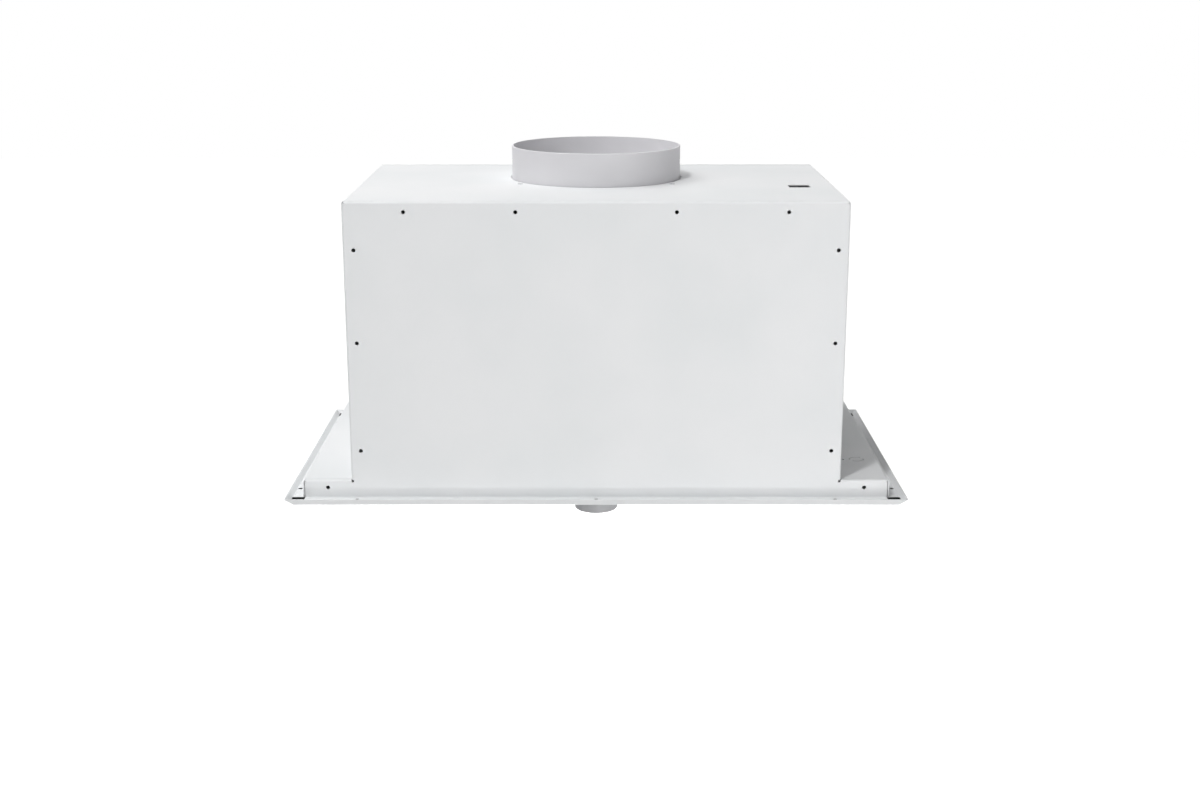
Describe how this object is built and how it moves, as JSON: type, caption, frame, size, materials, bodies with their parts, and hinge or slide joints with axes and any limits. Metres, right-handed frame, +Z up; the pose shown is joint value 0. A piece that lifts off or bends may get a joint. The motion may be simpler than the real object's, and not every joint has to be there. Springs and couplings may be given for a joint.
{
  "type": "built-in range hood",
  "caption": "Built-in range hood: a box-shaped sheet casing on low wings with a flared trim pan, a round duct collar with flaps, a blower, a knob, lamps and tilting grease filters.",
  "frame": {"origin": "centre of the fixing pattern, on the upper face of the flange that is screwed up against the cabinet", "axes": "+X to the right seen from the front, +Y from the front to the wall, +Z up through the duct collar"},
  "size_m": [0.52, 0.29, 0.2968],
  "materials": {
    "white_coated_steel": "white powder coat, satin gloss",
    "galvanised_steel": "hot-dip galvanised, spangled",
    "collar_plastic": "moulded, fine matt",
    "rivet_white": "painted aluminium",
    "flap_plastic": "moulded, fine matt",
    "pin_steel": "ground bright",
    "scroll_plastic": "moulded, flame-retardant grade",
    "wheel_steel": "galvanised strip, crimped",
    "motor_can": "drawn and zinc-plated",
    "bracket_steel": "pressed and zinc-plated",
    "bush_rubber": "moulded",
    "screw_zinc": "bright zinc",
    "box_plastic": "moulded",
    "block_plastic": "moulded",
    "capacitor_can": "moulded",
    "driver_plastic": "moulded",
    "switch_plastic": "moulded",
    "nut_brass": "nickel-plated",
    "spring_steel": "spring temper",
    "knob_plastic": "moulded, satin",
    "bezel_plastic": "moulded",
    "lens_plastic": "frosted",
    "sink_aluminium": "die cast",
    "filter_aluminium": "rolled, satin",
    "mesh_aluminium": "expanded and crimped",
    "handle_plastic": "moulded"
  },
  "bodies": {
    "casing": {"casing_wrap": "white_coated_steel", "front_panel": "white_coated_steel", "rear_panel": "white_coated_steel", "trim_pan": "white_coated_steel", "trim_angles": "galvanised_steel", "outlet_adapter": "galvanised_steel", "control_housing": "galvanised_steel", "capacitor_strap": "galvanised_steel", "duct_collar": "collar_plastic", "collar_rivets": "rivet_white", "flap_pin": "pin_steel", "scroll_left": "scroll_plastic", "scroll_right": "scroll_plastic", "motor_housing": "motor_can", "motor_bracket": "bracket_steel", "motor_bushes": "bush_rubber", "adapter_screws": "screw_zinc", "scroll_screws": "screw_zinc", "motor_screws": "screw_zinc", "lid_screws": "screw_zinc", "terminal_box": "box_plastic", "terminal_lid": "box_plastic", "terminal_block": "block_plastic", "capacitor": "capacitor_can", "led_driver": "driver_plastic", "switch_body": "switch_plastic", "switch_cover": "switch_plastic", "switch_nut": "nut_brass", "lamp_bezel_left": "bezel_plastic", "lamp_bezel_right": "bezel_plastic", "lamp_lens_left": "lens_plastic", "lamp_lens_right": "lens_plastic", "lamp_sink_left": "sink_aluminium", "lamp_sink_right": "sink_aluminium"},
    "impeller": {"impeller": "wheel_steel", "impeller_blades": "wheel_steel", "impeller_rings": "wheel_steel", "motor_shaft": "pin_steel"},
    "flap_front": {"flap_front": "flap_plastic"},
    "flap_rear": {"flap_rear": "flap_plastic"},
    "knob_rotor": {"switch_rotor": "switch_plastic", "press_spring": "spring_steel"},
    "knob": {"control_knob": "knob_plastic", "switch_spindle": "switch_plastic"},
    "filter_left": {"filter_frame_left": "filter_aluminium", "filter_grille_left": "filter_aluminium", "filter_mesh_left": "mesh_aluminium", "filter_handle_left": "handle_plastic", "filter_clips_left": "spring_steel"},
    "filter_right": {"filter_frame_right": "filter_aluminium", "filter_grille_right": "filter_aluminium", "filter_mesh_right": "mesh_aluminium", "filter_handle_right": "handle_plastic", "filter_clips_right": "spring_steel"}
  },
  "joints": [
    {"name": "impeller_spin", "type": "hinge", "parent": "casing", "child": "impeller", "pos_m": [0, 0, 0.122], "axis": [1, 0, 0], "continuous": true},
    {"name": "flap_rear_lift", "type": "hinge", "parent": "casing", "child": "flap_rear", "pos_m": [0, 0.0315, 0.2521], "axis": [1, 0, 0], "range_deg": [0, 75]},
    {"name": "flap_front_lift", "type": "hinge", "parent": "casing", "child": "flap_front", "pos_m": [0, 0.0315, 0.2521], "axis": [-1, 0, 0], "range_deg": [0, 75]},
    {"name": "knob_turn", "type": "hinge", "parent": "casing", "child": "knob_rotor", "pos_m": [0, -0.098, 0], "axis": [0, 0, 1], "range_deg": [0, 135]},
    {"name": "knob_press", "type": "slide", "parent": "knob_rotor", "child": "knob", "axis": [0, 0, 1], "range_m": [0, 0.002], "stiffness_N_per_m": 400, "springref_m": -0.005, "deforming": ["press_spring"]},
    {"name": "filter_left_tilt", "type": "hinge", "parent": "casing", "child": "filter_left", "pos_m": [-0.121, 0.108, -0.0032], "axis": [1, 0, 0], "range_deg": [0, 75], "deforming": ["filter_clips_left"]},
    {"name": "filter_right_tilt", "type": "hinge", "parent": "casing", "child": "filter_right", "pos_m": [0.121, 0.108, -0.0032], "axis": [1, 0, 0], "range_deg": [0, 75], "deforming": ["filter_clips_right"]}
  ]
}
